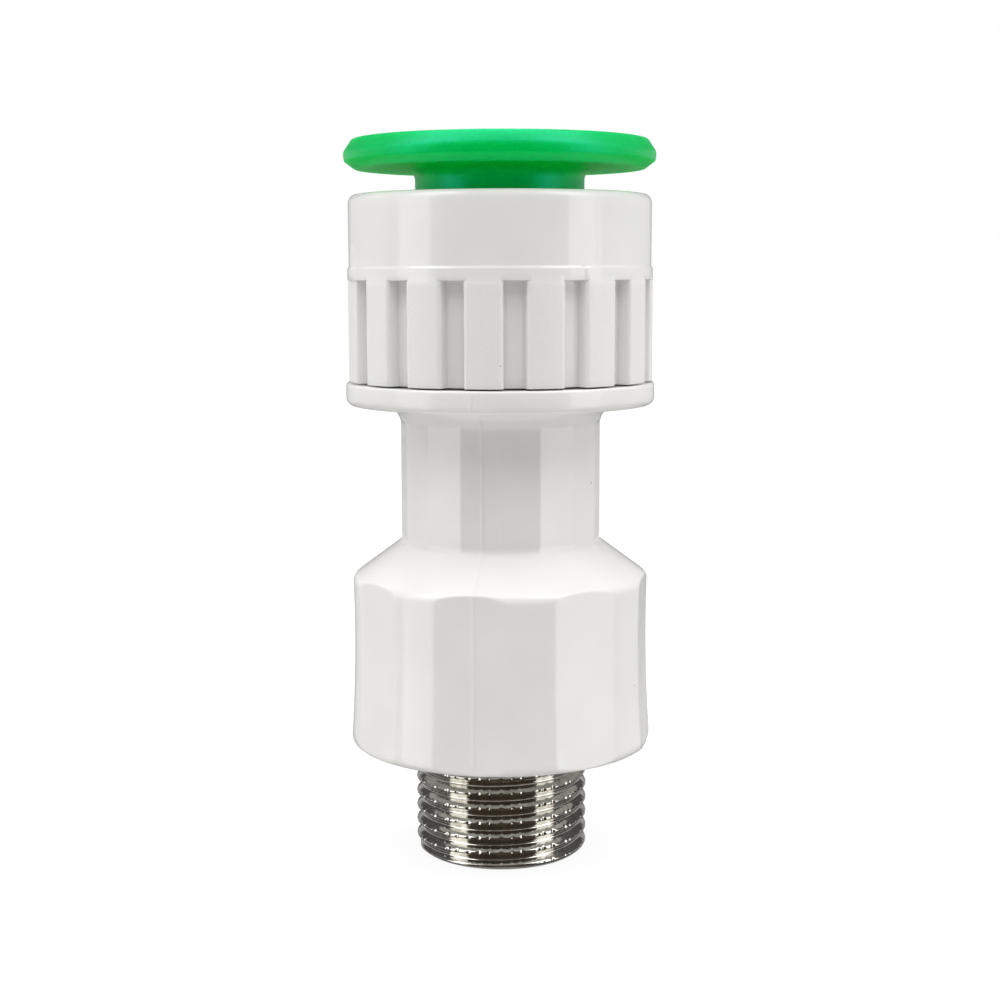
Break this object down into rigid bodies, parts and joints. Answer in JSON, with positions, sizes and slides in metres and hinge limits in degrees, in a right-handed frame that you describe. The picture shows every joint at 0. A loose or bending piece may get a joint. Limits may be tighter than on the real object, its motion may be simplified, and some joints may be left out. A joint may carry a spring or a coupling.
{
  "type": "push-in pipe fitting",
  "caption": "Straight push-in pipe fitting: release collar, ribbed screw cap, faceted plastic body and plated male pipe thread.",
  "frame": {"origin": "centre of the thread's end face, where the axis of the fitting meets the surface it stands on", "axes": "+Z along the axis from the thread to the pipe socket; -Y is the front that the picture shows, with the body's parting line about 11 degrees to its left"},
  "size_m": [0.0372, 0.0372, 0.0865],
  "materials": {
    "body_plastic": "moulded off-white plastic with a satin surface",
    "cap_plastic": "moulded off-white plastic, glossy band over spark-eroded grip ribs",
    "collar_plastic": "moulded green plastic, finely grained",
    "plated_brass": "bright nickel plate over turned brass",
    "spring_steel": "bright spring steel strip",
    "seal_rubber": "black moulded rubber",
    "ring_plastic": "moulded natural plastic"
  },
  "bodies": {
    "main": {"body": "body_plastic", "threaded_insert": "plated_brass", "insert_seal": "seal_rubber", "lower_o_ring": "seal_rubber", "spacer_ring": "ring_plastic", "upper_o_ring": "seal_rubber"},
    "ring_cartridge": {"grab_ring_seat": "ring_plastic", "grab_ring": "spring_steel"},
    "cap": {"cap": "cap_plastic"},
    "collar": {"release_collar": "collar_plastic"}
  },
  "joints": [
    {"name": "cap_lift", "type": "slide", "parent": "main", "child": "ring_cartridge", "axis": [0, 0, 1], "range_m": [0, 0.0075]},
    {"name": "cap_turn", "type": "hinge", "parent": "ring_cartridge", "child": "cap", "pos_m": [0, 0, 0.0672], "axis": [0, 0, 1], "range_deg": [0, 900]},
    {"name": "collar_press", "type": "slide", "parent": "ring_cartridge", "child": "collar", "axis": [0, 0, 1], "range_m": [-0.0024, 0], "stiffness_N_per_m": 800, "springref_m": 0.0005, "deforming": ["grab_ring"]}
  ],
  "couplings": [
    {"joint": "cap_lift", "follows": "cap_turn", "m_per_rad": 0.00047746}
  ]
}
